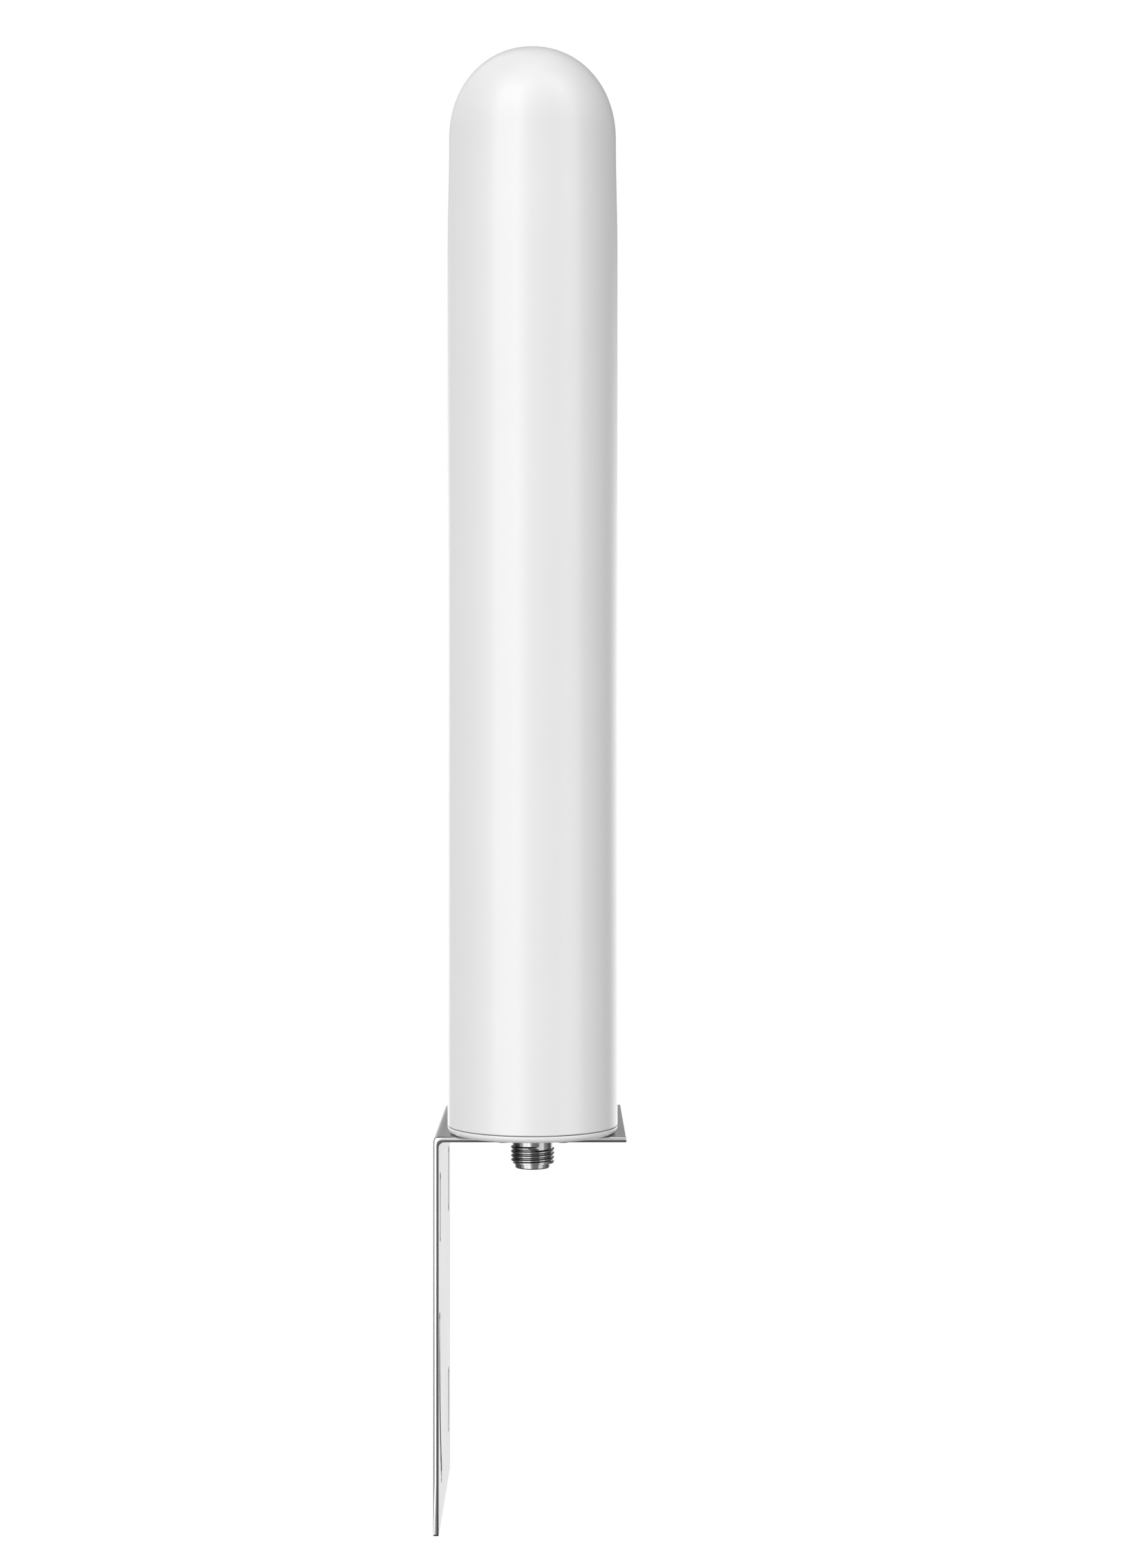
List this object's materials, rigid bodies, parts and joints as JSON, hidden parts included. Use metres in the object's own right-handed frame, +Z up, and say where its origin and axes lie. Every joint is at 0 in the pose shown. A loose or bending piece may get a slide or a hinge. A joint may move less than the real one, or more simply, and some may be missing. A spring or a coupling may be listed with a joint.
{
  "type": "omnidirectional antenna",
  "caption": "White cylindrical antenna with a domed radome and a threaded coaxial socket under its base, on an L-shaped slotted stainless bracket for a wall or pole.",
  "frame": {"origin": "centre of the bracket leg's flat wall face", "axes": "+Z up along the radome's axis, -X out of the wall face towards the wall or pole, -Y the front that the picture shows"},
  "size_m": [0.0697, 0.107, 0.539],
  "materials": {
    "radome_plastic": "white moulded plastic, glossy, faint mould waviness",
    "cap_plastic": "white moulded plastic, glossy",
    "seal_rubber": "black rubber",
    "connector_plating": "bright plated turned metal, machined threads",
    "ptfe": "milky white fluoroplastic",
    "gold_plating": "gold-coloured plating on a turned contact",
    "screw_steel": "stainless steel, cold headed",
    "insert_brass": "turned brass",
    "bracket_stainless": "stainless sheet, fine satin faces and rounded bright cut edges",
    "board_laminate": "green glass-fibre laminate with solder mask",
    "copper_foil": "copper foil under clear varnish",
    "cable_copper": "tarnished copper tube",
    "disc_plastic": "natural nylon",
    "vent_plastic": "dark grey moulded breather"
  },
  "bodies": {
    "root": {"back_copper": "copper_foil", "base_cap": "cap_plastic", "board_screw_1": "screw_steel", "board_screw_2": "screw_steel", "bracket": "bracket_stainless", "bracket_screw_1": "screw_steel", "bracket_screw_2": "screw_steel", "bracket_screw_3": "screw_steel", "centring_disc_1": "disc_plastic", "centring_disc_2": "disc_plastic", "centring_disc_3": "disc_plastic", "connector_body": "connector_plating", "connector_contact": "gold_plating", "connector_insulator": "ptfe", "connector_screw_1": "screw_steel", "connector_screw_2": "screw_steel", "connector_screw_3": "screw_steel", "connector_screw_4": "screw_steel", "connector_seal": "seal_rubber", "feed_cable": "cable_copper", "feed_pin": "cable_copper", "flat_washer_1": "screw_steel", "flat_washer_2": "screw_steel", "flat_washer_3": "screw_steel", "front_copper": "copper_foil", "insert_1": "insert_brass", "insert_2": "insert_brass", "insert_3": "insert_brass", "lock_washer_1": "screw_steel", "lock_washer_2": "screw_steel", "lock_washer_3": "screw_steel", "radiator_board": "board_laminate", "radome": "radome_plastic", "radome_seal": "seal_rubber", "top_buffer": "seal_rubber", "vent_plug": "vent_plastic"}
  },
  "joints": []
}
